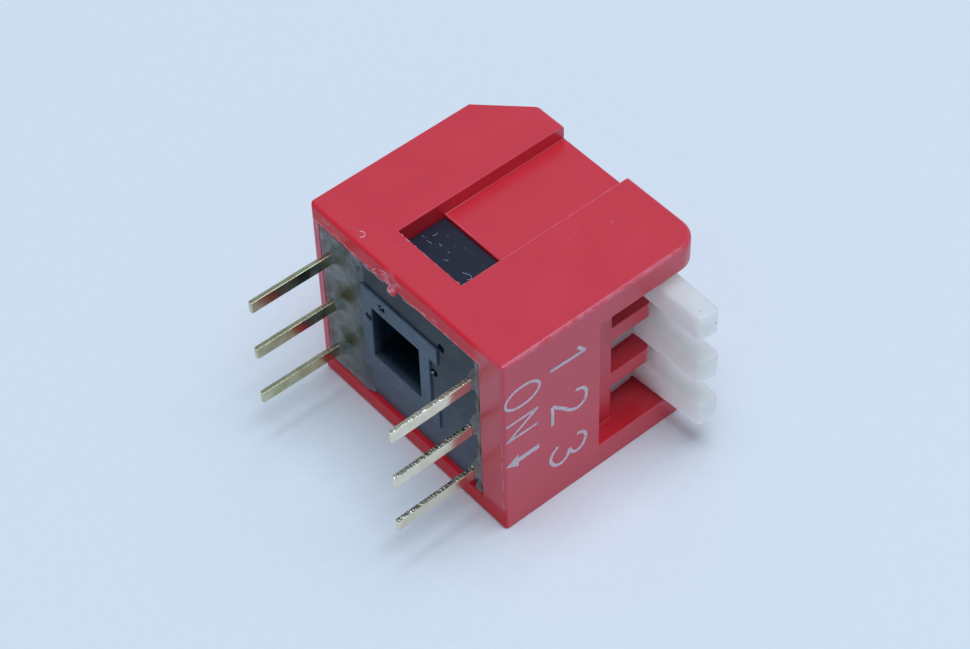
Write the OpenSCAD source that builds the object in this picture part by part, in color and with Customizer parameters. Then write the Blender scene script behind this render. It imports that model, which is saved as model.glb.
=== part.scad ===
// Piano DIP switch with three levers, for a 2.54 mm grid.
// X runs along the levers from position 1 to position 3, the levers look out towards -Y, and the
// pins point down. The origin is the middle of the pin grid, on the face that lies on the board.

/* [Grid] */
// Distance from one lever to the next, and from one pin to the next along a row
pitch = 2.54; // [2.5:0.01:2.8]
// Distance between the two rows of pins where they leave the base
row_spacing = 7.9; // [7.7:0.01:8]

/* [Housing] */
// Distance from the middle of the front pins to the front face
front_margin = 1.65; // [1.5:0.01:2.1]
// Distance from the middle of the back pins to the back face
back_margin = 1.15; // [1.1:0.01:1.6]
// Height of the housing above the board
housing_h = 9.5; // [8.5:0.05:10.5]
// Thickness of the two end walls
end_wall = 1.15; // [1.1:0.05:1.5]
// Thickness of the end walls at the bottom rim, round the base
end_rim = 0.85; // [0.75:0.05:1]
// Thickness of the front wall
front_wall = 1.3; // [1.1:0.05:1.5]
// Height of the front wall's outer step
front_step_h = 4.6; // [4:0.1:5.2]
// How far the upper part of the front wall is set back
front_step_d = 0.75; // [0.5:0.05:0.9]
// Thickness of the back wall
back_wall = 0.9; // [0.7:0.05:1]
// Thickness of the back wall at the bottom rim
back_rim = 0.4; // [0.3:0.05:0.6]
// Thickness of the roof
roof = 0.75; // [0.6:0.05:0.9]
// Size of the sloped edge along the top of the back
back_slope = 1.9; // [1:0.1:2.4]
// Radius of the end walls' upper front corners
nose_r = 1; // [0.5:0.1:1.6]

/* [Lever slots] */
// Width of the space for each lever
slot_w = 1.8; // [1.6:0.01:2]
// Clearance between a key that is pushed down and the floor of its slot
slot_floor_gap = 0.94; // [0.7:0.02:1.1]
// How far the tops of the fins between the levers lie below the housing's top
fin_drop = 1.6; // [1.2:0.1:2]
// Radius of the fins' upper front corners
fin_r = 0.35; // [0.2:0.05:0.5]
// How far behind the pin grid's middle the partitions reach
partition_back = 2; // [1.2:0.1:2.6]

/* [Latch] */
// Depth of the channel in each end wall
channel_d = 0.65; // [0.5:0.05:0.7]
// Width of the channel and of the latch window below it
channel_w = 3.52; // [3:0.1:3.8]
// How far the channel's middle lies behind the pin grid's middle
channel_y = 0.08; // [0.05:0.01:0.3]
// Height of the latch window's lower edge
window_z = 1.5; // [1.4:0.05:1.7]
// Height of the latch window
window_h = 2.15; // [1.8:0.05:2.5]
// How far the latch stands back from the channel's floor
latch_inset = 0.15; // [0.1:0.05:0.3]

/* [Base] */
// Height of the floor that the contacts lie on
floor_z = 2.2; // [2.1:0.05:2.4]
// Height of the base's underside above the board
under_z = 0.2; // [0.15:0.01:0.3]
// Height of the base's lower flange, which sits in the housing's rim
flange_top_z = 1.3; // [1.1:0.05:1.35]
// Radius of the flange's corners
flange_r = 0.9; // [0.5:0.1:1.2]
// Clearance between the base and the housing
base_gap = 0.03; // [0.02:0.01:0.05]
// Length of the pocket in the underside, from front to back
pocket_l = 2.75; // [2.2:0.05:3]
// Width of the pocket
pocket_w = 2.7; // [2.2:0.1:3]
// How far the pocket's middle lies behind the pin grid's middle
pocket_y = 0.6; // [0.4:0.1:0.8]
// Thickness of the pocket's roof
pocket_roof = 0.3; // [0.2:0.05:0.5]
// Width of the border's two side bars
border_w = 0.88; // [0.6:0.02:0.9]
// Width of the border's bars in front of the pocket and behind it
border_end_w = 0.56; // [0.4:0.02:0.6]
// How far the border stands out from the underside
border_h = 0.08; // [0.05:0.01:0.12]
// How far the side bars run on past the front bar
border_lead = 0.46; // [0.2:0.02:0.6]
// Radius of the four small pits beside the border
pit_r = 0.19; // [0.15:0.01:0.22]
// Depth of the pits
pit_d = 0.4; // [0.2:0.05:0.5]
// Depth of the troughs that hold the sealing resin, above the underside
trough_d = 0.35; // [0.2:0.05:0.5]
// Length of the back trough, from front to back
back_trough_l = 1.72; // [1.4:0.02:1.8]
// Length of the front trough, from front to back
front_trough_l = 0.25; // [0.2:0.05:0.4]
// How far the resin reaches round a pin in the front trough
resin_margin = 0.1; // [0.05:0.01:0.2]

/* [Terminals] */
// Width of a pin, along the row
pin_w = 0.54; // [0.44:0.02:0.6]
// Thickness of the strip that the terminals are stamped from
pin_t = 0.2; // [0.16:0.01:0.26]
// Length of a pin below the board face
pin_l = 3.77; // [3:0.1:4.5]
// How far a pin's tip leans out from where it leaves the base
pin_splay = 0.05; // [0:0.05:0.3]
// Width of a terminal's contact plate
plate_w = 1; // [0.9:0.05:1.2]
// Gap between the two fingers that the moving contact bridges
finger_gap = 0.16; // [0.12:0.02:0.3]
// Length of the stretch where the two fingers lie side by side
finger_l = 1.15; // [0.8:0.05:1.4]

/* [Levers] */
// How far the pivot lies behind the front wall's inner face
pivot_inset = 1.8; // [1.6:0.05:2]
// How far the pivot lies below the roof
pivot_drop = 1.55; // [1.4:0.05:1.7]
// Angle that a lever turns through from off to on, in degrees
throw_deg = 18; // [10:1:20]
// Width of the part that is pushed
key_w = 1.2; // [1:0.05:1.3]
// How far the key's tip stands out from the front face
key_reach = 2.1; // [1.5:0.1:2.6]
// Height of the key where it leaves the housing
key_h = 1.06; // [1:0.02:1.3]
// Clearance between the key's upper edge and the roof
key_roof_gap = 0.16; // [0.14:0.01:0.3]
// How far the key's upper edge falls towards the tip
key_fall = 0.12; // [0:0.02:0.3]
// How far the bottom of the key's tip stands back from its top
key_lean = 0.14; // [0:0.02:0.4]
// Width of the lever's body inside the housing
hub_w = 1.5; // [1.4:0.05:1.6]
// Radius of the lever's round back
hub_r = 1.3; // [1.1:0.05:1.4]
// Radius of the pegs that the lever turns on
peg_r = 0.55; // [0.45:0.05:0.6]
// Gap between the ends of two neighbouring levers' pegs
peg_space = 0.14; // [0.1:0.01:0.3]
// Radial clearance of the pegs in their bearings
peg_gap = 0.03; // [0.02:0.01:0.06]
// Thickness of the leg that reaches down to the contacts
leg_t = 0.98; // [0.8:0.02:1.1]
// Width of the leg
leg_w = 1; // [0.9:0.05:1.1]

/* [Moving contacts] */
// Thickness of the spring strip
spring_t = 0.12; // [0.08:0.01:0.15]
// Width of the spring strip
spring_w = 0.9; // [0.7:0.05:1]
// Length of the strip's two arms up the sides of the leg
spring_arm = 0.9; // [0.5:0.05:1.2]
// Clearance between the strip and the plates it passes over
wipe_gap = 0.03; // [0.02:0.01:0.06]

/* [Hidden] */

$fn = 48;
// Overshoot of a cut past the faces it goes through
cut = 1;

// The three lever positions along X
lever_x = [-pitch, 0, pitch];
// The two partitions between the levers
partition_x = [-pitch / 2, pitch / 2];
partition_t = pitch - slot_w;

// Housing: half of its outer and inner widths, and the planes of its walls
inner_half = pitch + slot_w / 2;
outer_half = inner_half + end_wall;
rim_half = outer_half - end_rim;
row_y = row_spacing / 2;
front_y = -row_y - front_margin;
front_inner_y = front_y + front_wall;
fin_root = 0.4;
fin_back_y = front_inner_y + fin_root;
step_y = front_y + front_step_d;
back_y = row_y + back_margin;
back_inner_y = back_y - back_wall;
back_rim_y = back_y - back_rim;
roof_z = housing_h - roof;
fin_top_z = housing_h - fin_drop;

// Channels and latch windows
channel_floor = outer_half - channel_d;
channel_y0 = channel_y - channel_w / 2;
latch_face = channel_floor - latch_inset;
lug_t = 0.3;

// Levers: the pivot, the round-back body under the key, and the slot below a pushed key
pivot_y = front_inner_y + pivot_inset;
pivot_z = roof_z - pivot_drop;
key_top_z = roof_z - key_roof_gap;
key_under_z = key_top_z - key_h;
hub_inset = 0.22;
chin = 0.4;
key_back_fall = 0.1;
tip_corner = 0.16;
key_dip = (pivot_y - step_y) * sin(throw_deg) + (pivot_z - key_under_z) * cos(throw_deg);
slot_floor_z = pivot_z - key_dip - slot_floor_gap;

// Bearings of the levers
bearing_r = peg_r + peg_gap;
side_gap = (slot_w - hub_w) / 2;
peg_l = (pitch - hub_w - peg_space) / 2;
end_play = 0.1;
bearing_d = peg_l - side_gap + end_play;
post_top_z = pivot_z - bearing_r - peg_gap;
rest_tilt = -throw_deg / 2;
// How far each lever is raised past the off angle at rest, within its play, in degrees
rest_lift = [0, 2, 3.5];

// Terminals: the height of the plates' upper faces, and where the fingers start and end
plate_z = floor_z + pin_t;
wipe_r = pivot_z - plate_z - wipe_gap;
on_y = pivot_y + wipe_r * sin(throw_deg / 2);
finger_y0 = on_y - finger_l / 2;
finger_y1 = on_y + finger_l / 2;
slot_gap = 0.01;
pin_tip_cut = 0.04;

// Moving contacts: a half ring under the foot, with two arms
bow_r = leg_t / 2 + slot_gap + spring_t;
bow_centre = wipe_r - bow_r;
foot_gap = 0.1;
foot_r = bow_centre - foot_gap;
hub_gap = 0.87;
hub_drop = bow_centre - spring_arm - hub_gap;

// Pocket and border: half of the pocket's width, its front and back edges, and the pits
pocket_half = pocket_w / 2;
pocket_y0 = pocket_y - pocket_l / 2;
pocket_y1 = pocket_y + pocket_l / 2;
pit_step = 0.65;
pits = [[-pocket_half - border_w / 2, pocket_y1 - pit_step],
        [-pocket_half / 2, pocket_y1 + pit_r],
        [-pocket_half / 2, pocket_y0 - border_end_w - pit_r],
        [-pocket_half - border_w - pit_r, pocket_y0 - border_end_w - pit_step]];

// Resin and its troughs
trough_z = under_z + trough_d;
front_trough_y = front_inner_y + front_trough_l;
back_trough_y = back_rim_y - back_trough_l;

// Turns an outline drawn as (y, z) into a solid that runs along X from x0 to x1.
module along_x(x0, x1) {
    translate([x0, 0, 0])
        rotate([90, 0, 90])
            linear_extrude(x1 - x0)
                children();
}

// A box given by its lowest and highest corners.
module box(low, high) {
    translate(low)
        cube(high - low);
}

// A rectangle given by its lowest and highest corners, with rounded corners.
module round_rectangle(low, high, r) {
    translate(low + [r, 0])
        square(high - low - [2 * r, 0]);
    translate(low + [0, r])
        square(high - low - [0, 2 * r]);
    for (x = [low[0] + r, high[0] - r])
        for (y = [low[1] + r, high[1] - r])
            translate([x, y])
                circle(r);
}

// ---- Housing ----

// Side view of the outside: sloped at the top of the back, rounded at the top of the front.
module housing_outline() {
    nose_y = front_y + nose_r;
    nose_z = housing_h - nose_r;
    polygon([[front_y, 0], [back_y, 0], [back_y, housing_h - back_slope],
             [back_y - back_slope, housing_h], [nose_y, housing_h],
             [nose_y, nose_z], [front_y, nose_z]]);
    translate([nose_y, nose_z])
        circle(nose_r);
}

// Side view of the inside: the slope's wall is as thick as the roof.
module cavity_outline() {
    slope_sum = back_y + housing_h - back_slope - roof * sqrt(2);
    polygon([[front_inner_y, -cut], [back_inner_y, -cut], [back_inner_y, slope_sum - back_inner_y],
             [slope_sum - roof_z, roof_z], [front_inner_y, roof_z]]);
}

// Side view of a partition: a fin with a rounded corner in front, and a full wall behind it.
module partition_outline() {
    fin_y = step_y + fin_r;
    fin_z = fin_top_z - fin_r;
    foot_z = floor_z + base_gap;
    top_z = roof_z + roof / 2;
    polygon([[step_y, front_step_h], [front_inner_y, front_step_h], [front_inner_y, foot_z],
             [partition_back, foot_z], [partition_back, top_z], [fin_back_y, top_z],
             [fin_back_y, fin_top_z], [fin_y, fin_top_z], [fin_y, fin_z], [step_y, fin_z]]);
    translate([fin_y, fin_z])
        circle(fin_r);
}

// Side view of a bearing's slot, which runs down from the pivot so that a peg can enter from below.
module bearing_slot_outline(low_z) {
    translate([pivot_y - bearing_r, low_z])
        square([2 * bearing_r, pivot_z - low_z]);
}

module bearing_bore(x0, x1) {
    translate([x0, pivot_y, pivot_z])
        rotate([0, 90, 0])
            cylinder(h = x1 - x0, r = bearing_r);
}

// The shell of walls and roof, open below and in front of the levers.
module housing_shell() {
    difference() {
        along_x(-outer_half, outer_half)
            housing_outline();
        along_x(-inner_half, inner_half)
            cavity_outline();
        box([-inner_half, front_y - cut, slot_floor_z],
            [inner_half, front_inner_y, housing_h + cut]);
        box([-inner_half, front_y - cut, front_step_h],
            [inner_half, step_y, housing_h + cut]);
        box([-rim_half, front_inner_y, -cut],
            [rim_half, back_rim_y, flange_top_z]);
    }
}

// The channel that runs up an end wall, and the latch window at its foot.
module channel_and_window() {
    channel_y1 = channel_y0 + channel_w;
    box([channel_floor, channel_y0, window_z],
        [outer_half + cut, channel_y1, housing_h + cut]);
    box([inner_half - cut, channel_y0, window_z],
        [outer_half, channel_y1, window_z + window_h]);
}

module housing() {
    color("crimson")
        difference() {
            union() {
                housing_shell();
                for (x = partition_x)
                    along_x(x - partition_t / 2, x + partition_t / 2)
                        partition_outline();
            }
            for (side = [0, 1])
                mirror([side, 0, 0]) {
                    channel_and_window();
                    along_x(inner_half - cut, inner_half + bearing_d)
                        bearing_slot_outline(flange_top_z);
                    bearing_bore(inner_half - cut, inner_half + bearing_d);
                }
            for (x = partition_x) {
                along_x(x - partition_t, x + partition_t)
                    bearing_slot_outline(-cut);
                bearing_bore(x - partition_t, x + partition_t);
            }
        }
}

// ---- Base ----

// The latch that shows in an end wall's window, on the lug that carries it.
module latch() {
    y0 = channel_y0 + base_gap;
    y1 = channel_y0 + channel_w - base_gap;
    top = window_z + window_h - base_gap;
    lug_x = inner_half - base_gap - lug_t;
    box([lug_x, y0, floor_z - lug_t], [inner_half - base_gap, y1, top]);
    box([lug_x, y0, window_z + base_gap], [latch_face, y1, top]);
}

// The post that closes a bearing from below and keeps the peg in it.
module post(x0, x1) {
    half = bearing_r - base_gap;
    box([x0, pivot_y - half, flange_top_z + base_gap], [x1, pivot_y + half, post_top_z]);
}

// The raised border round the pocket, whose side bars run on past the front bar.
module pocket_border() {
    low_z = under_z - border_h;
    high_z = under_z + trough_d / 2;
    x1 = pocket_half + border_w;
    y0 = pocket_y0 - border_end_w;
    y1 = pocket_y1 + border_end_w;
    box([-x1, y0, low_z], [x1, y1, high_z]);
    for (side = [0, 1])
        mirror([side, 0, 0])
            box([pocket_half, y0 - border_lead, low_z], [x1, y1, high_z]);
}

// The back trough, from low_z up, less an inset at the rim.
module back_trough(low_z, inset) {
    box([-rim_half + inset, back_trough_y, low_z], [rim_half - inset, back_rim_y - inset, trough_z]);
}

// The front trough: a narrow strip along the rim, with a bay round each pin.
module front_trough(low_z, inset) {
    box([-rim_half + inset, front_inner_y + inset, low_z], [rim_half - inset, front_trough_y, trough_z]);
    for (x = lever_x)
        box([x - pin_w / 2 - resin_margin, front_inner_y + inset, low_z],
            [x + pin_w / 2 + resin_margin, -row_y + pin_t / 2 + resin_margin, trough_z]);
}

// The slot that a terminal's pin goes through.
module pin_slot(x, side) {
    translate([x, side * row_y, floor_z / 2])
        cube([pin_w + 2 * slot_gap, pin_t + 2 * slot_gap, floor_z + cut], center = true);
}

module base() {
    flange_low = [-rim_half + base_gap, front_inner_y + base_gap];
    flange_high = [rim_half - base_gap, back_rim_y - base_gap];
    plate_low = [-inner_half + base_gap, front_inner_y + base_gap];
    plate_high = [inner_half - base_gap, back_inner_y - base_gap];
    color("darkslategray")
        difference() {
            union() {
                translate([0, 0, under_z])
                    linear_extrude(flange_top_z - base_gap - under_z)
                        round_rectangle(flange_low, flange_high, flange_r);
                translate([0, 0, under_z + trough_d])
                    linear_extrude(floor_z - under_z - trough_d)
                        round_rectangle(plate_low, plate_high, flange_r / 2);
                pocket_border();
                for (side = [0, 1])
                    mirror([side, 0, 0]) {
                        latch();
                        post(inner_half - side_gap + base_gap, inner_half + bearing_d - base_gap);
                    }
                for (x = partition_x)
                    post(x - partition_t / 2 + base_gap, x + partition_t / 2 - base_gap);
            }
            box([-pocket_half, pocket_y0, -cut], [pocket_half, pocket_y1, floor_z - pocket_roof]);
            for (place = pits)
                translate([place[0], place[1], -cut])
                    cylinder(h = under_z + pit_d + cut, r = pit_r);
            back_trough(-cut, -base_gap);
            front_trough(-cut, -base_gap);
            for (x = lever_x)
                for (side = [-1, 1])
                    pin_slot(x, side);
        }
}

// ---- Terminals ----

// Side view of a back pin: upright in the base, then leaning out to a tip with broken corners.
module pin_outline() {
    y0 = row_y - pin_t / 2;
    y1 = row_y + pin_t / 2;
    polygon([[y0, plate_z], [y0, under_z], [y0 + pin_splay, -pin_l + pin_tip_cut],
             [y0 + pin_splay + pin_tip_cut, -pin_l], [y1 + pin_splay - pin_tip_cut, -pin_l],
             [y1 + pin_splay, -pin_l + pin_tip_cut], [y1, under_z], [y1, plate_z]]);
}

module pin(x, side) {
    mirror([0, side < 0 ? 1 : 0, 0])
        along_x(x - pin_w / 2, x + pin_w / 2)
            pin_outline();
}

// A front terminal: its plate ends in a finger on the left, which the contact always touches.
module front_terminal(x) {
    color("goldenrod") {
        pin(x, -1);
        box([x - plate_w / 2, -row_y - pin_t / 2, floor_z],
            [x + plate_w / 2, finger_y0 - finger_gap, plate_z]);
        box([x - plate_w / 2, finger_y0 - 2 * finger_gap, floor_z],
            [x - finger_gap / 2, finger_y1, plate_z]);
    }
}

// A back terminal: its plate ends in a finger on the right, which the contact touches when on.
module back_terminal(x) {
    color("goldenrod") {
        pin(x, 1);
        box([x - plate_w / 2, finger_y1 + finger_gap, floor_z],
            [x + plate_w / 2, row_y + pin_t / 2, plate_z]);
        box([x + finger_gap / 2, finger_y0, floor_z],
            [x + plate_w / 2, finger_y1 + 2 * finger_gap, plate_z]);
    }
}

// ---- Resin seals ----

module front_resin_seal() {
    color("darkseagreen")
        difference() {
            front_trough(under_z, 2 * base_gap);
            for (x = lever_x)
                pin(x, -1);
        }
}

module back_resin_seal() {
    color("darkseagreen")
        difference() {
            back_trough(under_z, 2 * base_gap);
            for (x = lever_x)
                pin(x, 1);
        }
}

// ---- Levers ----

// Raises a lever, or what it carries, by an angle about the pivot.
module raised(lift) {
    translate([0, pivot_y, pivot_z])
        rotate([-lift, 0, 0])
            translate([0, -pivot_y, -pivot_z])
                children();
}

// Draws in a frame whose origin is the pivot and whose -Y direction runs down the leg when off.
module leg_frame() {
    translate([pivot_y, pivot_z])
        rotate(rest_tilt)
            children();
}

// Side view of the key that sticks out of the housing.
module key_outline() {
    tip_y = front_y - key_reach;
    tip_z = key_top_z - key_fall;
    low_y = tip_y + key_lean;
    polygon([[pivot_y, key_top_z - key_back_fall], [fin_back_y, key_top_z],
             [tip_y + 1.5 * tip_corner, tip_z], [tip_y + tip_corner / 2, tip_z - tip_corner / 4],
             [tip_y, tip_z - tip_corner], [low_y, key_under_z + tip_corner / 2],
             [low_y + tip_corner / 2, key_under_z], [pivot_y, key_under_z]]);
}

// Side view of the lever's body: a round back on the pivot, and a straight front with the leg below.
module hub_outline() {
    front = front_inner_y + hub_inset;
    chin_z = pivot_z - hub_drop;
    translate([pivot_y, pivot_z])
        circle(hub_r);
    polygon([[front, key_under_z], [front, chin_z + chin], [front + chin, chin_z], [pivot_y, chin_z],
             [pivot_y + hub_r * cos(60), pivot_z - hub_r * sin(60)], [pivot_y, pivot_z + hub_r / 2]]);
}

module leg_outline() {
    leg_frame()
        translate([-leg_t / 2, -foot_r])
            square([leg_t, foot_r]);
}

module lever(n) {
    x = lever_x[n];
    color("whitesmoke")
        raised(rest_lift[n]) {
            along_x(x - key_w / 2, x + key_w / 2)
                key_outline();
            along_x(x - hub_w / 2, x + hub_w / 2)
                hub_outline();
            along_x(x - leg_w / 2, x + leg_w / 2)
                leg_outline();
            translate([x - hub_w / 2 - peg_l, pivot_y, pivot_z])
                rotate([0, 90, 0])
                    cylinder(h = hub_w + 2 * peg_l, r = peg_r);
        }
}

// ---- Moving contacts ----

// Side view of a U with a round bottom, drawn about the middle of its bow.
module u_outline(r, arm) {
    circle(r);
    translate([-r, 0])
        square([2 * r, arm]);
}

// Side view of the spring: a bow under the foot, with an arm up each side of the leg.
module spring_outline() {
    leg_frame()
        translate([0, -bow_centre])
            difference() {
                u_outline(bow_r, spring_arm);
                u_outline(bow_r - spring_t, spring_arm + cut);
            }
}

module moving_contact(n) {
    x = lever_x[n];
    color("gold")
        raised(rest_lift[n])
            along_x(x - spring_w / 2, x + spring_w / 2)
                spring_outline();
}

housing();
base();
lever(0);  // lever_1
lever(1);  // lever_2
lever(2);  // lever_3
moving_contact(0);  // moving_contact_1
moving_contact(1);  // moving_contact_2
moving_contact(2);  // moving_contact_3
front_terminal(lever_x[0]);  // front_terminal_1
front_terminal(lever_x[1]);  // front_terminal_2
front_terminal(lever_x[2]);  // front_terminal_3
back_terminal(lever_x[0]);  // back_terminal_1
back_terminal(lever_x[1]);  // back_terminal_2
back_terminal(lever_x[2]);  // back_terminal_3
front_resin_seal();
back_resin_seal();
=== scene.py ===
"""A three-position piano DIP switch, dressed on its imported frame.

The switch stands in its own frame: pins down, levers towards -Y, position 1 towards -X. The camera
sees it lying on its end wall at +X, so the floor is the plane that this wall touches.
"""

import math

import bmesh
import bpy
from mathutils import Matrix, Vector, noise


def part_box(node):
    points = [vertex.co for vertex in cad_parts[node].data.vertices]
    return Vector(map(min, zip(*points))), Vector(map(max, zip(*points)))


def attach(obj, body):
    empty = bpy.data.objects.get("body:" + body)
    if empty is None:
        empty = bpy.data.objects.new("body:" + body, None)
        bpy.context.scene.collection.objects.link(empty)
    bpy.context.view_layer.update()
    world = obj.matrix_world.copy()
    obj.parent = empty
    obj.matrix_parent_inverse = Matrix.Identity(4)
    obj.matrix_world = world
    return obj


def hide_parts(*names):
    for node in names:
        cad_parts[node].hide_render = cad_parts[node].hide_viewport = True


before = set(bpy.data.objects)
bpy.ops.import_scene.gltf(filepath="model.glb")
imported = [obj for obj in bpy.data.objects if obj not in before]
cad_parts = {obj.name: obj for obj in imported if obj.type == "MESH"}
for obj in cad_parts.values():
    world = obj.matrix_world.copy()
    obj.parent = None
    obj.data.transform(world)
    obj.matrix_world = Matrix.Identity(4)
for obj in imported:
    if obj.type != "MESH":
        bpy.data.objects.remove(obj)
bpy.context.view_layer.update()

MM = 0.001
BODY = "switch_body"
LEVERS = (1, 2, 3)
ROWS = ("front", "back")

# Sizes in millimetres, read from the frame
housing_low, housing_high = (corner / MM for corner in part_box("housing"))
seal_low = {row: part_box(f"{row}_resin_seal")[0] / MM for row in ROWS}
seal_high = {row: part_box(f"{row}_resin_seal")[1] / MM for row in ROWS}
pin_low = {row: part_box(f"{row}_terminal_2")[0] / MM for row in ROWS}
pin_high = {row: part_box(f"{row}_terminal_2")[1] / MM for row in ROWS}
pitch = (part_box("front_terminal_3")[0].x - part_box("front_terminal_2")[0].x) / MM
lever_x = [-pitch, 0.0, pitch]
end_x = housing_low.x
front_y = housing_low.y
# The pins: their thickness, half their width, and the rows' middles where they leave the base,
# which lie this far in from the outermost faces of the splayed tips
pin_t = 0.2
pin_half = 0.27
root_inset = 0.15
row_y = {"front": pin_low["front"].y + root_inset, "back": pin_high["back"].y - root_inset}
# The base's underside, the border on it and the latch's face
under_z = seal_low["back"].z
border_z = under_z - 0.08
latch_x = -3.792
# The channel in an end wall: its middle and half its width, its front edge, its depth, and its window's top
channel_y = 0.08
channel_half = 1.7
channel_front_y = -1.68
channel_depth = 0.65
window_top_z = 3.6
# Thickness of a scratch, of a deep one and of printed ink, and how far each stands off its face
scratch_t = 0.006
deep_scratch_t = 0.008
scratch_gap = 0.001
ink_t = 0.006
ink_gap = 0.002


# ---- Materials ----

def colour(code):
    """The linear colour of an sRGB hex code."""
    parts = [int(code[i:i + 2], 16) / 255 for i in (1, 3, 5)]
    return [c / 12.92 if c <= 0.04045 else ((c + 0.055) / 1.055) ** 2.4 for c in parts] + [1.0]


def add(tree, kind, inputs=None, **settings):
    """Adds a node. settings are its properties; inputs are its sockets' values, or outputs to link to them."""
    node = tree.nodes.new("ShaderNode" + kind)
    for name, value in settings.items():
        setattr(node, name, value)
    for name, value in (inputs or {}).items():
        if isinstance(value, bpy.types.NodeSocket):
            tree.links.new(value, node.inputs[name])
        else:
            node.inputs[name].default_value = value
    return node


def new_material(name, **shader_values):
    """A material with a Principled shader, and the object's own coordinates in millimetres."""
    material = bpy.data.materials.new(name)
    material.use_nodes = True
    tree = material.node_tree
    tree.nodes.clear()
    shader = add(tree, "BsdfPrincipled")
    for socket, value in shader_values.items():
        shader.inputs[socket.replace("_", " ").title().replace("Ior", "IOR")].default_value = value
    add(tree, "OutputMaterial", {"Surface": shader.outputs[0]})
    place = add(tree, "TexCoord")
    millimetres = add(tree, "VectorMath", {0: place.outputs["Object"], 1: [1 / MM] * 3}, operation="MULTIPLY")
    return material, tree, shader, millimetres.outputs[0]


def mixed(tree, share, first, second):
    """A colour between two, each a colour code or a node's output."""
    sides = [colour(side) if isinstance(side, str) else side for side in (first, second)]
    node = add(tree, "Mix", {0: share, 6: sides[0], 7: sides[1]}, data_type="RGBA")
    return node.outputs[2]


def ranged(tree, value, low, high, to_low=0.0, to_high=1.0):
    """A value carried from one range to another, and held within it."""
    node = add(tree, "MapRange", {"Value": value, "From Min": low, "From Max": high,
                                  "To Min": to_low, "To Max": to_high})
    return node.outputs[0]


def product(tree, first, second):
    """Two values multiplied."""
    return add(tree, "Math", {0: first, 1: second}, operation="MULTIPLY").outputs[0]


def red_pbt():
    """Moulded red PBT: satin, a little see-through at its edges, paler where it is rubbed and dusty."""
    material, tree, shader, place = new_material("red_moulded_pbt", ior=1.6, subsurface_weight=0.15,
                                                 subsurface_scale=0.5 * MM)
    shader.inputs["Subsurface Radius"].default_value = (1.0, 0.12, 0.12)
    shader.inputs["Specular Tint"].default_value = colour("#cfdcff")
    parts = add(tree, "SeparateXYZ", {0: place})
    cloud = add(tree, "TexNoise", {"Vector": place, "Scale": 0.45, "Detail": 4.0})
    red = mixed(tree, ranged(tree, cloud.outputs[0], 0.35, 0.65), "#d02028", "#d4232a")
    # Dust and lint from 0.05 to 0.2 mm
    dust = add(tree, "TexNoise", {"Vector": place, "Scale": 7.0, "Detail": 2.0, "Roughness": 0.4})
    red = mixed(tree, ranged(tree, dust.outputs[0], 0.76, 0.82, 0.0, 0.3), red, "#e08e98")
    # Rubbed edges: the value worn says how much, the noise breaks them up every 0.3 mm
    rub = add(tree, "TexNoise", {"Vector": place, "Scale": 3.2, "Detail": 8.0, "Roughness": 0.75})
    worn = add(tree, "Attribute", attribute_name="worn")
    wear = product(tree, worn.outputs["Fac"], ranged(tree, rub.outputs[0], 0.40, 0.60, 0.1, 1.0))
    red = mixed(tree, wear, red, "#dc8893")
    # Rim beside position 1: rubbed matt, painted light (a brighter red in patches, as if lit like the end
    # face), and a torn pale line where the knife trimmed its inner edge
    low_face = ranged(tree, parts.outputs["Z"], 0.03, 0.16, 1.0, 0.0)
    outer_rim = ranged(tree, parts.outputs["X"], -3.45, -3.65)
    outer_rim = product(tree, outer_rim, ranged(tree, parts.outputs["Y"], -4.6, -4.1))
    # Painted light: a brighter red over the rim's underside
    rim_painted_light = product(tree, product(tree, low_face, outer_rim), ranged(tree, rub.outputs[0], 0.3, 0.6, 0.8, 1.0))
    red = mixed(tree, rim_painted_light, red, "#df2937")
    inner_edge = ranged(tree, parts.outputs["X"], -3.90, -3.74)
    trim = product(tree, product(tree, low_face, product(tree, inner_edge, outer_rim)),
                   ranged(tree, rub.outputs[0], 0.47, 0.55, 0.1, 0.9))
    red = mixed(tree, trim, red, "#e6ccd4")
    # The rims at both ends are matt underneath, and the one beside position 3 is painted a deeper red there:
    # painted shade
    far_rim = ranged(tree, parts.outputs["X"], 3.3, 3.7)
    rims = add(tree, "Math", {0: outer_rim, 1: far_rim}, operation="MAXIMUM")
    matt = ranged(tree, product(tree, low_face, rims.outputs[0]), 0.0, 1.0, 0.85, 0.12)
    tree.links.new(matt, shader.inputs["Specular IOR Level"])
    # Painted shade: a deeper red under the rim beside position 3
    red = mixed(tree, product(tree, low_face, far_rim), red, "#d01a28")
    # Around the gate, the cutter left the plastic scraped over 0.5 mm
    gate = add(tree, "VectorMath", {0: place, 1: (-4.12, 0.5, 0.0)}, operation="DISTANCE")
    scraped = product(tree, ranged(tree, gate.outputs["Value"], 0.2, 0.5, 0.5, 0.0),
                      ranged(tree, rub.outputs[0], 0.46, 0.56))
    red = mixed(tree, scraped, red, "#eab6c0")
    tree.links.new(red, shader.inputs["Base Color"])
    tree.links.new(ranged(tree, cloud.outputs[0], 0.3, 0.7, 0.29, 0.33), shader.inputs["Roughness"])
    # Spark-eroded mould texture of about 0.05 mm, drawn at 0.1 mm so that it shows
    grain = add(tree, "TexNoise", {"Vector": place, "Scale": 10.0, "Detail": 3.0})
    bump = add(tree, "Bump", {"Height": grain.outputs[0], "Strength": 0.04, "Distance": 0.01 * MM})
    tree.links.new(bump.outputs[0], shader.inputs["Normal"])
    return material


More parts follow.
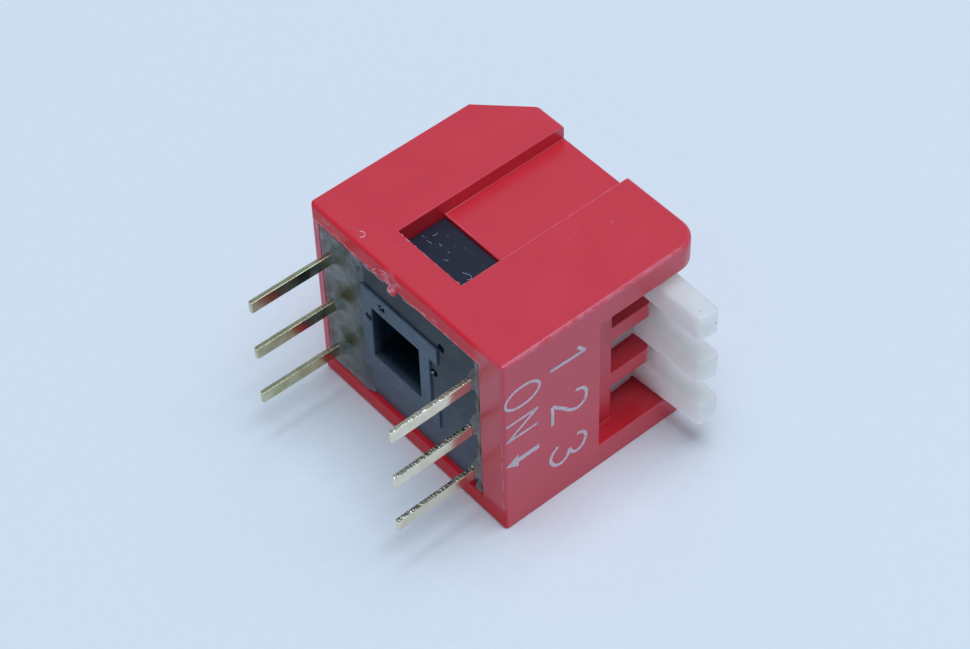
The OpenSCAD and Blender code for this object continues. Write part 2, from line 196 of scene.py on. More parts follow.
def black_pbt():
    """Moulded black PBT: a smooth slate black, with dust, hair scratches and a border rubbed grey that fades in
    painted shade towards position 3.
    """
    material, tree, shader, place = new_material("black_moulded_pbt", ior=1.54, specular_ior_level=0.27)
    shader.inputs["Specular Tint"].default_value = colour("#bcd8ea")
    parts = add(tree, "SeparateXYZ", {0: place})
    cloud = add(tree, "TexNoise", {"Vector": place, "Scale": 1.2, "Detail": 5.0, "Roughness": 0.6})
    black = mixed(tree, ranged(tree, cloud.outputs[0], 0.35, 0.65), "#0d1b26", "#1a2935")
    # The latch in the end window is greyer
    above = ranged(tree, parts.outputs["Z"], 1.0, 1.2)
    latch = product(tree, above, ranged(tree, parts.outputs["X"], -3.4, -3.55))
    black = mixed(tree, latch, black, "#242431")
    # The underside turns greyer towards position 3
    outside = ranged(tree, parts.outputs["Z"], under_z + 0.05, under_z + 0.3, 1.0, 0.0)
    black = mixed(tree, product(tree, outside, ranged(tree, parts.outputs["X"], -1.4, 2.8, 0.0, 0.95)),
                  black, "#4d5563")
    # The border that stands out is rubbed; the rub fades out towards position 3, a painted shade
    raised = ranged(tree, parts.outputs["Z"], under_z - 0.006, under_z - 0.003, 1.0, 0.0)
    rub = add(tree, "TexNoise", {"Vector": place, "Scale": 6.0, "Detail": 6.0, "Roughness": 0.7})
    shade_fade = ranged(tree, parts.outputs["X"], 0.6, 2.0, 1.0, 0.35)
    # Wear on the border, with painted shade where it fades
    rubbed = product(tree, product(tree, raised, shade_fade), ranged(tree, rub.outputs[0], 0.3, 0.6, 0.7, 1.0))
    black = mixed(tree, rubbed, black, "#506172")
    # Scratches: threads of noise drawn out six times along one slant
    slant = add(tree, "Mapping", {"Vector": place, "Rotation": (0.6, 0.0, 0.0), "Scale": (1.0, 1.0, 6.0)})
    thread = add(tree, "TexNoise", {"Vector": slant.outputs[0], "Scale": 2.2, "Detail": 2.0})
    black = mixed(tree, ranged(tree, thread.outputs[0], 0.71, 0.75, 0.0, 0.3), black, "#8b98a8")
    dust = add(tree, "TexNoise", {"Vector": place, "Scale": 12.0, "Detail": 1.0})
    black = mixed(tree, ranged(tree, dust.outputs[0], 0.76, 0.82, 0.0, 0.4), black, "#93a0ae")
    worn = add(tree, "Attribute", attribute_name="worn")
    black = mixed(tree, product(tree, worn.outputs["Fac"], ranged(tree, rub.outputs[0], 0.4, 0.6, 0.1, 0.9)),
                  black, "#5d6775")
    tree.links.new(black, shader.inputs["Base Color"])
    tree.links.new(ranged(tree, cloud.outputs[0], 0.3, 0.7, 0.30, 0.48), shader.inputs["Roughness"])
    grain = add(tree, "TexNoise", {"Vector": place, "Scale": 12.0, "Detail": 2.0})
    bump = add(tree, "Bump", {"Height": grain.outputs[0], "Strength": 0.2, "Distance": 0.01 * MM})
    tree.links.new(bump.outputs[0], shader.inputs["Normal"])
    return material


def milky_nylon():
    """Moulded natural nylon: milky, lets light a good millimetre in, satin with faint flow marks."""
    material, tree, shader, place = new_material("natural_moulded_nylon", ior=1.53, subsurface_weight=1.0,
                                                 subsurface_scale=4.0 * MM)
    shader.inputs["Subsurface Radius"].default_value = (1.0, 1.0, 0.95)
    flow = add(tree, "TexNoise", {"Vector": place, "Scale": 0.7, "Detail": 3.0, "Distortion": 0.6})
    white = mixed(tree, ranged(tree, flow.outputs[0], 0.35, 0.65), "#dae3d9", "#e5ece2")
    tree.links.new(white, shader.inputs["Base Color"])
    tree.links.new(ranged(tree, flow.outputs[0], 0.3, 0.7, 0.35, 0.45), shader.inputs["Roughness"])
    bump = add(tree, "Bump", {"Height": flow.outputs[0], "Strength": 0.1, "Distance": 0.05 * MM})
    tree.links.new(bump.outputs[0], shader.inputs["Normal"])
    return material


def plated_strip(name, light, dark, tear):
    """Gold-flashed stamped strip: smooth rolled faces, and glittering edges where the punch sheared it."""
    material, tree, shader, place = new_material(name, metallic=1.0)
    stains = add(tree, "TexNoise", {"Vector": place, "Scale": 1.8, "Detail": 5.0})
    tone = mixed(tree, ranged(tree, stains.outputs[0], 0.35, 0.65), light, dark)
    facing = add(tree, "NewGeometry")
    sides = add(tree, "SeparateXYZ", {0: facing.outputs["True Normal"]})
    sideways = add(tree, "Math", {0: sides.outputs["X"]}, operation="ABSOLUTE")
    sheared = ranged(tree, sideways.outputs[0], 0.45, 0.6)
    # Tears of about 0.1 mm across the strip, and pits between them
    across = add(tree, "Mapping", {"Vector": place, "Scale": (1.0, 0.5, 2.0)})
    tears = add(tree, "TexVoronoi", {"Vector": across.outputs[0], "Scale": 9.0, "Randomness": 1.0})
    ridges = add(tree, "TexNoise", {"Vector": across.outputs[0], "Scale": 7.0, "Detail": 4.0})
    # The punch tore the strip more at positions 2 and 3, and more towards the root
    along = add(tree, "SeparateXYZ", {0: place})
    blunt = product(tree, ranged(tree, along.outputs["X"], -1.8, -0.8, 0.45, 1.0),
                    ranged(tree, along.outputs["Z"], -3.4, -1.2, 0.6, 1.0))
    sheared = product(tree, sheared, blunt)
    pits = product(tree, sheared, ranged(tree, ridges.outputs[0], 0.44, 0.58, 0.25 * tear, tear))
    tree.links.new(mixed(tree, pits, tone, "#38362c"), shader.inputs["Base Color"])
    tree.links.new(ranged(tree, stains.outputs[0], 0.3, 0.7, 0.12, 0.22), shader.inputs["Roughness"])
    height = product(tree, tears.outputs["Distance"], sheared)
    bump = add(tree, "Bump", {"Height": height, "Strength": tear, "Distance": 0.05 * MM})
    tree.links.new(bump.outputs[0], shader.inputs["Normal"])
    return material


def casting_resin():
    """Grey-green epoxy, glossy where it crept up the pins, with olive flux stains beside them and pale painted
    highlights.
    """
    material, tree, shader, place = new_material("casting_resin", ior=1.5, subsurface_weight=0.2,
                                                 subsurface_scale=0.3 * MM, specular_ior_level=0.35)
    cloud = add(tree, "TexNoise", {"Vector": place, "Scale": 1.8, "Detail": 6.0})
    tone = mixed(tree, ranged(tree, cloud.outputs[0], 0.35, 0.62), "#4b5449", "#7c847d")
    # Thin over the base, it lets the black show through
    parts = add(tree, "SeparateXYZ", {0: place})
    thin = ranged(tree, parts.outputs["Y"], 2.6, 4.1, 0.88, 0.0)
    tone = mixed(tree, product(tree, thin, ranged(tree, parts.outputs["Y"], 0.0, 1.0)), tone, "#25353f")
    edge = add(tree, "Attribute", attribute_name="edge")
    tone = mixed(tree, edge.outputs["Fac"], tone, "#927982")
    stain = add(tree, "Attribute", attribute_name="stain")
    tone = mixed(tree, stain.outputs["Fac"], tone, "#3d3d1e")
    painted_highlight = add(tree, "Attribute", attribute_name="painted_highlight")
    # Painted highlights: pale patches where the glossy resin would mirror the light
    tone = mixed(tree, painted_highlight.outputs["Fac"], tone, "#b0a9b2")
    tree.links.new(tone, shader.inputs["Base Color"])
    tree.links.new(ranged(tree, cloud.outputs[0], 0.3, 0.7, 0.22, 0.4), shader.inputs["Roughness"])
    bump = add(tree, "Bump", {"Height": cloud.outputs[0], "Strength": 0.25, "Distance": 0.06 * MM})
    tree.links.new(bump.outputs[0], shader.inputs["Normal"])
    return material


def pad_ink():
    """Pad-printed lilac-white ink: matt, a little thin in spots of 0.1 mm."""
    material, tree, shader, place = new_material("pad_printed_ink", roughness=0.5)
    cover = add(tree, "TexNoise", {"Vector": place, "Scale": 8.0, "Detail": 4.0, "Roughness": 0.6})
    tone = mixed(tree, ranged(tree, cover.outputs[0], 0.5, 0.68), "#d8c8d2", "#bd8d9f")
    tree.links.new(tone, shader.inputs["Base Color"])
    return material


def torn_plastic(name, pale, thin):
    """Scratched-up plastic and dirt, also pale grains painted as glints: the loose fibres scatter the light, so
    it looks matt and uneven.
    """
    material, tree, shader, place = new_material(name, roughness=0.6)
    torn = add(tree, "TexNoise", {"Vector": place, "Scale": 7.0, "Detail": 6.0, "Roughness": 0.8})
    tone = mixed(tree, ranged(tree, torn.outputs[0], 0.38, 0.62), pale, thin)
    tree.links.new(tone, shader.inputs["Base Color"])
    return material


# ---- Shapes ----

def finished(name, shape, material, body, replaced=()):
    """Turns a bmesh drawn in millimetres into a piece of the object, on its body."""
    bmesh.ops.scale(shape, verts=shape.verts, vec=[MM] * 3)
    mesh = bpy.data.meshes.new(name)
    shape.to_mesh(mesh)
    shape.free()
    mesh.materials.append(material)
    piece = bpy.data.objects.new(name, mesh)
    bpy.context.scene.collection.objects.link(piece)
    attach(piece, body)
    if replaced:
        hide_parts(*replaced)
    return piece


def merged_copy(node):
    """A solid's faces as one closed skin in millimetres, with its flat faces whole."""
    shape = bmesh.new()
    shape.from_mesh(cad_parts[node].data)
    bmesh.ops.scale(shape, verts=shape.verts, vec=[1 / MM] * 3)
    bmesh.ops.remove_doubles(shape, verts=shape.verts, dist=0.002)
    bmesh.ops.dissolve_limit(shape, angle_limit=math.radians(1), verts=shape.verts, edges=shape.edges,
                             use_dissolve_boundaries=False)
    return shape


def smooth(piece, angle=40):
    """Smooth shading that keeps the flat faces flat."""
    piece.data.shade_smooth()
    piece.data.set_sharp_from_angle(angle=math.radians(angle))
    level = piece.modifiers.new("flat_faces", "WEIGHTED_NORMAL")
    level.keep_sharp = True
    level.weight = 100


def round_edges(shape, edges, radius, segments):
    """Rounds some of a skin's edges, and returns the faces made."""
    return bmesh.ops.bevel(shape, geom=edges, offset=radius, offset_type="OFFSET", affect="EDGES",
                           segments=segments, profile=0.5, material=-1, clamp_overlap=True)["faces"]


def rounded_copy(node, radius, material, body, wear=None, soft=None, soft_radius=0.0, segments=2):
    """A piece that stands for a solid, with its edges rounded: softly where soft(edge) holds.

    wear(place) says how worn a rounded edge is there, from 0 to 1.
    """
    shape = merged_copy(node)
    worn = shape.faces.layers.float.new("worn")
    rounded = []
    if soft:
        rounded += round_edges(shape, [e for e in shape.edges if soft(e)], soft_radius, 4)
    corners = [e for e in shape.edges if e.is_manifold and e.calc_face_angle() > math.radians(35)]
    rounded += round_edges(shape, corners, radius, segments)
    for face in rounded:
        if face.is_valid and wear:
            face[worn] = wear(face.calc_center_median())
    piece = finished(f"{node}_skin", shape, material, body, [node])
    smooth(piece)
    return piece


def softened_copy(node, size, passes, material, body):
    """A piece that stands for a solid, rebuilt in squares of a size and smoothed until its edges flow."""
    shape = merged_copy(node)
    mesh = bpy.data.meshes.new(node + "_block")
    shape.to_mesh(mesh)
    shape.free()
    block = bpy.data.objects.new(node + "_block", mesh)
    bpy.context.scene.collection.objects.link(block)
    squares = block.modifiers.new("squares", "REMESH")
    squares.mode = "VOXEL"
    squares.voxel_size = size
    flow = block.modifiers.new("flow", "SMOOTH")
    flow.factor = 0.5
    flow.iterations = passes
    shape = bmesh.new()
    shape.from_mesh(block.evaluated_get(bpy.context.evaluated_depsgraph_get()).data)
    bpy.data.objects.remove(block)
    piece = finished(f"{node}_skin", shape, material, body, [node])
    piece.data.shade_smooth()
    return piece


def drawn_lines(name, lines, width, height, to_place, material, body):
    """Flattened round strokes. Each line is (closed, curved, points), drawn in (u, v) millimetres.

    to_place is the matrix that carries (u, v, height) to its place on the object.
    """
    curve = bpy.data.curves.new(name, "CURVE")
    curve.dimensions = "3D"
    curve.bevel_depth = width / 2
    curve.bevel_resolution = 2
    curve.use_fill_caps = True
    curve.resolution_u = 10
    for closed, curved, points in lines:
        spline = curve.splines.new("BEZIER")
        spline.bezier_points.add(len(points) - 1)
        for knot, point in zip(spline.bezier_points, points):
            knot.co = (point[0], point[1], 0)
            knot.handle_left_type = knot.handle_right_type = "AUTO" if curved else "VECTOR"
        spline.use_cyclic_u = closed
    drawing = bpy.data.objects.new(name + "_drawing", curve)
    bpy.context.scene.collection.objects.link(drawing)
    mesh = bpy.data.meshes.new_from_object(drawing.evaluated_get(bpy.context.evaluated_depsgraph_get()))
    bpy.data.objects.remove(drawing)
    shape = bmesh.new()
    shape.from_mesh(mesh)
    bmesh.ops.remove_doubles(shape, verts=shape.verts, dist=0.0005)
    bmesh.ops.scale(shape, verts=shape.verts, vec=(1, 1, 2 * height / width))
    bmesh.ops.transform(shape, matrix=to_place, verts=shape.verts)
    bmesh.ops.recalc_face_normals(shape, faces=shape.faces)
    return finished(name, shape, material, body)


def on_front(y):
    """Carries a drawing's (u, v) to (x, z) on a face that looks towards -Y."""
    return Matrix(((1, 0, 0, 0), (0, 0, -1, y), (0, 1, 0, 0), (0, 0, 0, 1)))


def on_end(x):
    """Carries a drawing's (u, v) to (y, z) on a face that looks towards -X."""
    return Matrix(((0, 0, -1, x), (1, 0, 0, 0), (0, 1, 0, 0), (0, 0, 0, 1)))


def on_underside(z):
    """Carries a drawing's (u, v) to (x, y) on a face that looks towards -Z."""
    return Matrix.Translation((0, 0, z))


def lump(name, place, size, material, body, seed):
    """A small uneven grain or drip, size being its three diameters."""
    shape = bmesh.new()
    bmesh.ops.create_icosphere(shape, subdivisions=3, radius=0.5)
    for vert in shape.verts:
        vert.co *= 1 + 0.35 * noise.noise(vert.co * 3 + Vector((seed, 0, 0)))
    bmesh.ops.scale(shape, verts=shape.verts, vec=size)
    bmesh.ops.translate(shape, verts=shape.verts, vec=place)
    piece = finished(name, shape, material, body)
    piece.data.shade_smooth()
    return piece


# ---- Housing, base and levers ----

red = red_pbt()
black = black_pbt()
nylon = milky_nylon()
front_plating = plated_strip("bright_gold_flash", "#e8e3cf", "#dbd4bc", 0.95)
back_plating = plated_strip("dull_gold_flash", "#d2ceae", "#b5b08a", 0.15)
resin = casting_resin()
ink = pad_ink()
# Torn red plastic for scratches and tears, also used for the painted glint on the gate stub
pale_tear_and_glint = torn_plastic("torn_red_plastic_and_glint", "#e2a6af", "#cc5f6b")
faint_tear = torn_plastic("scratched_red_plastic", "#d3636f", "#c23b48")
trimmed = torn_plastic("trimmed_red_plastic", "#e8c3cb", "#cf7f8c")
# Torn black plastic for scratches, also used for the painted glints in the pits
grey_tear_and_glint = torn_plastic("torn_black_plastic_and_glint", "#b4bcc8", "#6b7684")
dirt = torn_plastic("grey_dirt", "#626a6c", "#8b9294")


def housing_wear(place):
    """The channel's front edge and the front corner are rubbed most."""
    if place.x < end_x + 0.1:
        if abs(place.y - channel_front_y) < 0.1 and place.z > 3:
            return 0.7
        if place.y < front_y + 0.1:
            return 0.6 if 3.0 < place.z < 8.5 else 0.15
        return 0.1
    if place.z < 0.1:
        return 0.6
    if place.y < front_y + 0.1:
        return 0.2
    return 0.05


def outline_edge(edge):
    """The front outline of the end wall beside position 1, and the bottom edges of both end walls."""
    ends = [vert.co for vert in edge.verts]
    bottom_edge = all(end.z < 0.01 and abs(end.x) > housing_high.x - 0.01 for end in ends)
    near_face = all(end.x < end_x + 0.01 and end.y < housing_high.y - 0.1 for end in ends)
    window = all(abs(end.y - channel_y) < channel_half + 0.2 and end.z > 0.5 for end in ends)
    return bottom_edge or near_face and not window


def border_edge(edge):
    """The long outer edges of the raised border round the pocket."""
    middle = (edge.verts[0].co + edge.verts[1].co) / 2
    pocket = abs(middle.x) < 1.36 and -0.8 < middle.y < 2.0
    return edge.calc_length() > 0.4 and middle.z < border_z + 0.01 and not pocket


def base_wear(place):
    """The underside and its border are rubbed most."""
    return 0.5 if place.z < under_z + 0.05 else 0.15


rounded_copy("housing", 0.07, red, BODY, housing_wear, outline_edge, 0.16, 3)
rounded_copy("base", 0.03, black, BODY, base_wear, border_edge, 0.07)
for n in LEVERS:
    softened_copy(f"lever_{n}", 0.035, 24, nylon, f"lever_{n}_body")
    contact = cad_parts[f"moving_contact_{n}"].data
    contact.materials.clear()
    contact.materials.append(back_plating)
    rounded_copy(f"front_terminal_{n}", 0.02, front_plating, BODY)
    rounded_copy(f"back_terminal_{n}", 0.02, back_plating, BODY)


# ---- Resin ----

def pin_distance(x, y, row):
    """How far a place on the underside is from the nearest pin of a row."""
    return min(math.hypot(max(abs(x - pin_x) - pin_half, 0), max(abs(y - row_y[row]) - pin_t / 2, 0))
               for pin_x in lever_x)


def poured(name, row, low, high, sunk, stains, painted_highlights):
    """Resin poured round a row of pins: it creeps up the pins and the rim, and thins out over the base.

    sunk(x, y) says how far its surface has sunk below the base's face, where it ends.
    stains and painted_highlights are (x, y, radius) of the olive blotches and of the pale painted highlights.
    """
    shape = bmesh.new()
    steps = [round((high[i] - low[i]) / 0.06) for i in (0, 1)]
    bmesh.ops.create_grid(shape, x_segments=steps[0], y_segments=steps[1], size=0.5)
    bmesh.ops.scale(shape, verts=shape.verts, vec=(high[0] - low[0], high[1] - low[1], 1))
    bmesh.ops.translate(shape, verts=shape.verts, vec=((low[0] + high[0]) / 2, (low[1] + high[1]) / 2, 0))
    stain = shape.verts.layers.float.new("stain")
    edge = shape.verts.layers.float.new("edge")
    painted_highlight = shape.verts.layers.float.new("painted_highlight")
    for vert in shape.verts:
        x, y = vert.co.x, vert.co.y
        rough = noise.noise(Vector((x * 1.7, y * 1.7, 3)))
        fine = noise.noise(Vector((x * 6, y * 6, 9)))
        wall = min(high[1] - y if row == "back" else y - low[1], x - low[0], high[0] - x)
        creep = 0.32 * math.exp(-pin_distance(x, y, row) / 0.09)
        rise = 0.17 * math.exp(-wall / 0.16)
        vert.co.z = under_z - creep - rise + 0.025 * rough + 0.008 * fine + sunk(x, y) - 0.012
        blotch, pale = (sum(math.exp(-((x - s[0]) ** 2 + (y - s[1]) ** 2) / s[2] ** 2) for s in spots)
                        for spots in (stains, painted_highlights))
        vert[stain] = min(1, max(0, 1.5 * blotch + 0.8 * rough + 0.4 * fine - 0.25))
        # How much painted highlight a place gets
        vert[painted_highlight] = min(1, max(0, 1.3 * pale + 0.3 * fine - 0.15))
        vert[edge] = math.exp(-wall / 0.22) * (0.75 + 0.5 * rough)
    skirt = bmesh.ops.extrude_face_region(shape, geom=shape.faces[:], use_keep_orig=True)
    for item in skirt["geom"]:
        if isinstance(item, bmesh.types.BMVert):
            item.co.z = seal_high[row].z
    bmesh.ops.recalc_face_normals(shape, faces=shape.faces)
    piece = finished(name, shape, resin, BODY, [f"{row}_resin_seal"])
    piece.data.shade_smooth()


def back_sunk(x, y):
    """The back row's pool ends in a ragged line between the pins and the border."""
    shore = 2.42
    ragged = 0.12 * noise.noise(Vector((x * 1.3, y, 5)))
    return 0.09 * max(0, min(1, (shore + ragged - y) / 0.25))


def front_sunk(x, y):
    """The front row's strip lies along the rim, and reaches a little past each pin."""
    strip = 0.36
    round_pin = 0.08
    reach = 0.1 * noise.noise(Vector((x * 2.1, 0, 8)))
    past = min(y - (seal_low["front"].y + strip) - reach, pin_distance(x, y, "front") - round_pin - reach)
    return 0.2 * max(0, min(1, past / 0.12))


back_stains = [(-2.5, 3.45, 0.4), (-0.8, 3.25, 0.5), (-0.7, 3.75, 0.42), (1.65, 3.35, 0.46), (1.7, 3.8, 0.4)]
# Pale painted highlights near the back rim, between the pins
back_painted_highlights = [(-3.1, 4.8, 0.3), (-1.3, 4.8, 0.36), (1.0, 4.8, 0.36)]
front_stains = [(-1.3, -4.1, 0.4), (1.2, -4.1, 0.35), (3.35, -4.1, 0.25)]
# Pale painted highlights beside each front pin
front_painted_highlights = [(x + 0.48, -3.9, 0.24) for x in lever_x]
poured("back_resin", "back", (seal_low["back"].x, 2.12), seal_high["back"], back_sunk, back_stains, back_painted_highlights)
poured("front_resin", "front", seal_low["front"], (seal_high["front"].x, seal_high["front"].y + 0.2),
       front_sunk, front_stains, front_painted_highlights)


# ---- Legend ----

FIGURES = [(False, False, [(-3.08, 3.5), (-2.68, 3.86)]),
           (False, False, [(-2.68, 3.88), (-2.76, 2.2)]),
           (False, True, [(-0.8, 3.42), (-0.6, 3.82), (-0.15, 3.92), (0.22, 3.68), (0.2, 3.3), (-0.25, 2.8),
                          (-0.72, 2.3)]),
           (False, False, [(-0.72, 2.3), (0.35, 2.3)]),
           (False, True, [(1.75, 3.5), (1.95, 3.85), (2.35, 3.88), (2.72, 3.6), (2.62, 3.25), (2.3, 3.12)]),
           (False, True, [(2.3, 3.12), (2.7, 2.98), (2.84, 2.62), (2.55, 2.28), (2.15, 2.22), (1.75, 2.55)])]
LETTERS = [(True, True, [(-3.0, 0.9), (-2.85, 1.48), (-2.5, 1.7), (-2.15, 1.48), (-2.0, 0.9), (-2.15, 0.32),
                         (-2.5, 0.1), (-2.85, 0.32)]),
           (False, False, [(-1.3, 0.12), (-1.28, 1.63)]),
           (False, False, [(-1.28, 1.6), (-0.45, 0.15)]),
           (False, False, [(-0.45, 0.12), (-0.42, 1.6)])]
printed = on_front(front_y - ink_gap)
drawn_lines("printed_figures", FIGURES, 0.16, ink_t, printed, ink, BODY)
drawn_lines("printed_letters", LETTERS, 0.13, ink_t, printed, ink, BODY)


def printed_arrow():
    """The arrow that points down to the on side."""
    shape = bmesh.new()
    outline = [(0.81, 1.65), (0.81, 0.66), (0.6, 0.66), (0.93, 0.08), (1.26, 0.66), (1.05, 0.66), (1.05, 1.65)]
    face = shape.faces.new([shape.verts.new((u, v, 0)) for u, v in outline])
    thick = bmesh.ops.extrude_face_region(shape, geom=[face])
    top = [item for item in thick["geom"] if isinstance(item, bmesh.types.BMVert)]
    bmesh.ops.translate(shape, verts=top, vec=(0, 0, ink_t))
    bmesh.ops.transform(shape, matrix=printed, verts=shape.verts)
    bmesh.ops.recalc_face_normals(shape, faces=shape.faces)
    finished("printed_arrow", shape, ink, BODY)


printed_arrow()


# ---- Scratches, torn edges, grains and painted glints ----

end_face = on_end(end_x - scratch_gap)
rim_face = on_underside(-scratch_gap)
drawn_lines("end_wall_scratch",
            [(False, True, [(3.24, 0.23), (3.0, 0.38), (2.73, 0.47)]),
             (False, True, [(2.57, 0.2), (2.62, 0.33), (2.72, 0.38)])],
            0.03, scratch_t, end_face, faint_tear, BODY)
drawn_lines("end_wall_gouge",
            [(False, True, [(2.73, 0.47), (2.54, 0.52), (2.44, 0.4), (2.5, 0.26)])],
            0.07, deep_scratch_t, end_face, pale_tear_and_glint, BODY)
drawn_lines("hair_scratches",
            [(False, True, [(0.94, 0.94), (0.9, 1.1), (0.93, 1.31)]),
             (False, True, [(1.3, 0.86), (1.22, 1.02), (1.2, 1.2)]),
             (False, True, [(-2.6, 5.6), (-2.5, 5.9), (-2.46, 6.3)])],
            0.022, 0.005, end_face, faint_tear, BODY)
drawn_lines("window_edge_scratches",
            [(False, True, [(1.62, 1.49), (1.5, 1.46)]),
             (False, True, [(1.38, 1.48), (1.22, 1.45), (1.12, 1.48)]),
             (False, True, [(0.86, 1.49), (0.78, 1.47)]),
             (False, True, [(0.4, 1.48), (0.2, 1.45), (0.08, 1.47)]),
             (False, True, [(-0.3, 1.48), (-0.42, 1.46)]),
             (False, True, [(-0.95, 1.48), (-1.05, 1.46)]),
             (False, True, [(-1.45, 1.48), (-1.6, 1.5)])],
            0.028, scratch_t, end_face, pale_tear_and_glint, BODY)
drawn_lines("trimmed_rim_tears",
            [(False, True, [(-4.28, 4.4), (-4.2, 4.15), (-4.22, 3.98)]),
             (False, True, [(-4.06, 3.7), (-3.98, 3.4)]),
             (False, True, [(-3.92, 3.2), (-3.78, 2.75), (-3.70, 2.3)]),
             (False, True, [(-3.69, 2.1), (-3.66, 1.8), (-3.72, 1.5)]),
             (False, True, [(-3.7, -0.2), (-3.74, -0.6), (-3.86, -1.1), (-3.95, -1.5)]),
             (False, True, [(-4.02, -1.8), (-4.06, -2.1)])],
            0.04, deep_scratch_t, rim_face, trimmed, BODY)
drawn_lines("front_edge_tears",
            [(False, True, [(-0.4, -5.44), (-0.05, -5.5), (0.28, -5.52)]),
             (False, True, [(0.6, -5.49), (1.01, -5.45), (1.36, -5.51)]),
             (False, True, [(1.6, -5.52), (1.85, -5.5), (2.3, -5.53)]),
             (False, True, [(2.7, -5.52), (3.17, -5.5), (3.4, -5.53)])],
            0.045, deep_scratch_t, rim_face, pale_tear_and_glint, BODY)
drawn_lines("gate_tears",
            [(False, True, [(-3.83, 1.54), (-4.0, 1.4), (-4.09, 1.29)]),
             (False, True, [(-4.2, 1.1), (-4.3, 0.8), (-4.28, 0.55)]),
             (False, True, [(-4.3, 0.2), (-4.2, -0.1)]),
             (False, True, [(-4.0, 1.07), (-4.12, 0.8), (-4.06, 0.62), (-3.82, 0.52)]),
             (False, True, [(-3.75, 1.5), (-3.68, 1.2), (-3.72, 0.9)])],
            0.035, deep_scratch_t, rim_face, trimmed, BODY)
drawn_lines("latch_scratches",
            [(False, True, [(-0.69, 2.36), (-0.85, 2.43), (-1.03, 2.48), (-1.12, 2.38), (-1.06, 2.25)]),
             (False, True, [(-1.02, 1.91), (-1.15, 1.93), (-1.13, 2.07)]),
             (False, True, [(1.4, 2.72), (1.37, 2.86), (1.39, 2.94)]),
             (False, True, [(0.26, 2.27), (0.14, 2.31), (0.12, 2.39)]),
             (False, False, [(0.95, 2.63), (0.8, 2.64)]),
             (False, False, [(0.45, 2.62), (0.35, 2.64)]),
             (False, False, [(1.39, 2.41), (1.1, 2.44)])],
            0.02, scratch_t, on_end(latch_x), grey_tear_and_glint, BODY)
for i, (y, z, size) in enumerate([(3.05, 3.7, 0.12), (-2.95, 7.5, 0.16), (4.0, 1.9, 0.06), (0.3, 4.2, 0.08)]):
    in_channel = abs(y - channel_y) < channel_half and z > window_top_z
    x = end_x + channel_depth if in_channel else end_x
    lump(f"lint_{i + 1}", (x, y, z), (0.012, size, size * 0.4), faint_tear, BODY, i)
specks = [(-3.14, -7.26, 7.87, 0.05), (-2.55, -7.675, 8.25, 0.06), (-2.2, -7.675, 8.26, 0.04)]
for i, (x, y, z, size) in enumerate(specks):
    lump(f"lever_speck_{i + 1}", (x, y, z), (0.03, size, size), dirt, "lever_1_body", 50 + i)
lump("gate_stub", (-3.66, 0.4, -0.02), (0.32, 0.5, 0.22), red, BODY, 21)
# A pale grain on the gate stub: a painted glint
lump("gate_painted_glint", (-3.68, 0.36, -0.11), (0.1, 0.12, 0.08), pale_tear_and_glint, BODY, 22)
# Pale grains in three pits of the border: painted glints, standing in for highlights in the dark pits
glint_z = border_z + 0.06
for i, (x, y, size) in enumerate([(-1.82, 1.36, 0.11), (-0.66, -1.47, 0.12), (-0.7, 2.2, 0.07)]):
    sides = (size * 0.7, size, size)
    lump(f"pit_painted_glint_{i + 1}", (x, y, glint_z), sides, grey_tear_and_glint, BODY, 40 + i)


# ---- Floor, light and camera ----

def floor_material():
    """A pale sheet of paper. It is clear from behind, so that other views see the switch past it."""
    material, tree, shader, place = new_material("pale_sheet", roughness=0.8)
    fibre = add(tree, "TexNoise", {"Vector": place, "Scale": 3.0, "Detail": 4.0})
    tone = mixed(tree, ranged(tree, fibre.outputs[0], 0.3, 0.7), "#dfe7ea", "#e1e9ec")
    tree.links.new(tone, shader.inputs["Base Color"])
    output = next(n for n in tree.nodes if n.type == "OUTPUT_MATERIAL")
    clear = add(tree, "BsdfTransparent")
    side = add(tree, "NewGeometry")
    seen = add(tree, "MixShader", {0: side.outputs["Backfacing"], 1: shader.outputs[0], 2: clear.outputs[0]})
    tree.links.new(seen.outputs[0], output.inputs["Surface"])
    return material


def place_floor():
    """The sheet that the end wall at +X lies on, facing -X."""
    shape = bmesh.new()
    bmesh.ops.create_grid(shape, x_segments=1, y_segments=1, size=150 * MM)
    bmesh.ops.rotate(shape, verts=shape.verts, matrix=Matrix.Rotation(math.radians(-90), 3, "Y"))
    bmesh.ops.translate(shape, verts=shape.verts, vec=(housing_high.x * MM, 0, 0))
    mesh = bpy.data.meshes.new("pale_floor")
    shape.to_mesh(mesh)
    shape.free()
    mesh.materials.append(floor_material())
    floor = bpy.data.objects.new("pale_floor", mesh)
    bpy.context.scene.collection.objects.link(floor)
    floor.visible_shadow = False


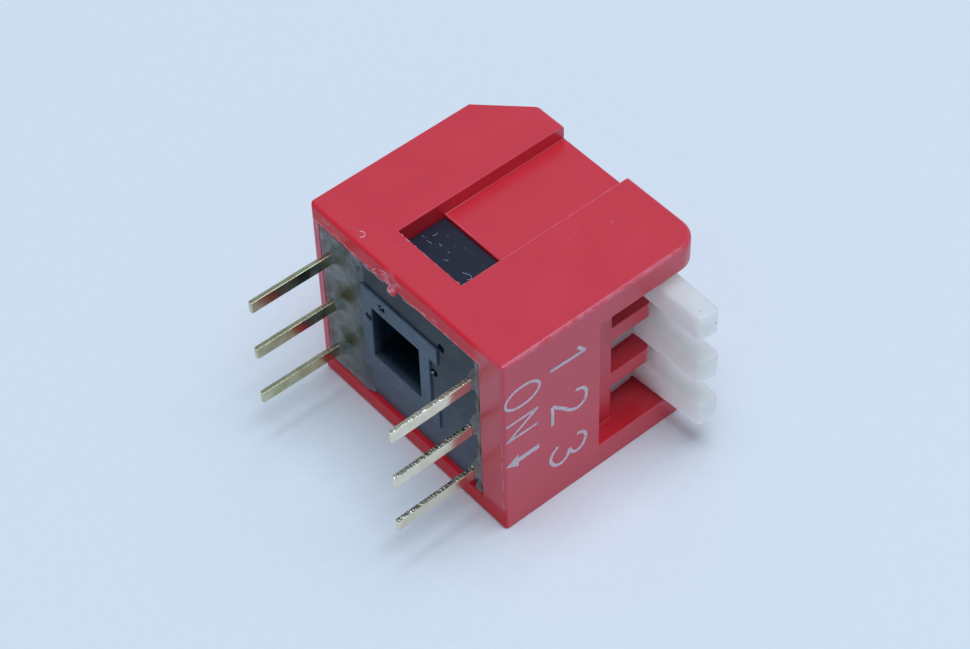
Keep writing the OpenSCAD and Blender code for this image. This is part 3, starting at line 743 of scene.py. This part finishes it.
def place_light(name, place, aim, size, watts, tone):
    """A square soft lamp at a place in millimetres, turned to an aim."""
    data = bpy.data.lights.new(name, "AREA")
    data.size = size * MM
    data.energy = watts
    data.color = colour(tone)[:3]
    lamp = bpy.data.objects.new(name, data)
    bpy.context.scene.collection.objects.link(lamp)
    lamp.location = Vector(place) * MM
    lamp.rotation_mode = "QUATERNION"
    lamp.rotation_quaternion = (Vector(aim) - Vector(place)).to_track_quat("-Z", "Y")


def light_world():
    """A dim light tent with pale blue walls. Mirrored, it is darker towards its open top at -X."""
    world = bpy.data.worlds.new("light_tent")
    bpy.context.scene.world = world
    world.use_nodes = True
    tree = world.node_tree
    tree.nodes.clear()
    light = add(tree, "Background", {"Color": colour("#e3eeff"), "Strength": 0.32})
    seen = add(tree, "Background", {"Color": colour("#cfe2f1"), "Strength": 1.0})
    direction = add(tree, "TexCoord")
    parts = add(tree, "SeparateXYZ", {0: direction.outputs["Generated"]})
    wall = ranged(tree, parts.outputs["X"], -1.0, -0.3, 0.35, 1.0)
    mirrored = add(tree, "Background", {"Color": colour("#cfe2f1"), "Strength": wall})
    path = add(tree, "LightPath")
    unseen = add(tree, "MixShader", {0: path.outputs["Is Glossy Ray"], 1: light.outputs[0],
                                     2: mirrored.outputs[0]})
    both = add(tree, "MixShader", {0: path.outputs["Is Camera Ray"], 1: unseen.outputs[0], 2: seen.outputs[0]})
    add(tree, "OutputWorld", {"Surface": both.outputs[0]})


def place_camera():
    """A long lens, close above the underside, with the switch lying on its end wall."""
    data = bpy.data.cameras.new("close_up")
    data.sensor_width = 36.0
    data.lens = 99.8
    data.clip_start = 1 * MM
    data.clip_end = 1.0
    camera = bpy.data.objects.new("close_up", data)
    bpy.context.scene.collection.objects.link(camera)
    stand = Vector((-75.16, -51.24, -37.81))
    aim = Vector((0.518, -0.186, 3.727))
    forward = (aim - stand).normalized()
    right = forward.cross(Vector((-1, 0, 0))).normalized()
    up = right.cross(forward)
    roll = Matrix.Rotation(math.radians(1.92), 3, forward)
    axes = Matrix((roll @ right, roll @ up, -forward)).transposed()
    camera.matrix_world = Matrix.Translation(stand * MM) @ axes.to_4x4()
    bpy.context.scene.camera = camera


place_floor()
light_world()
centre = (0.0, -0.5, 4.0)
place_light("overhead_softbox", (-395, -40, 25), centre, 300, 1.42, "#e3eeff")
place_camera()

scene = bpy.context.scene
scene.view_settings.view_transform = "Standard"
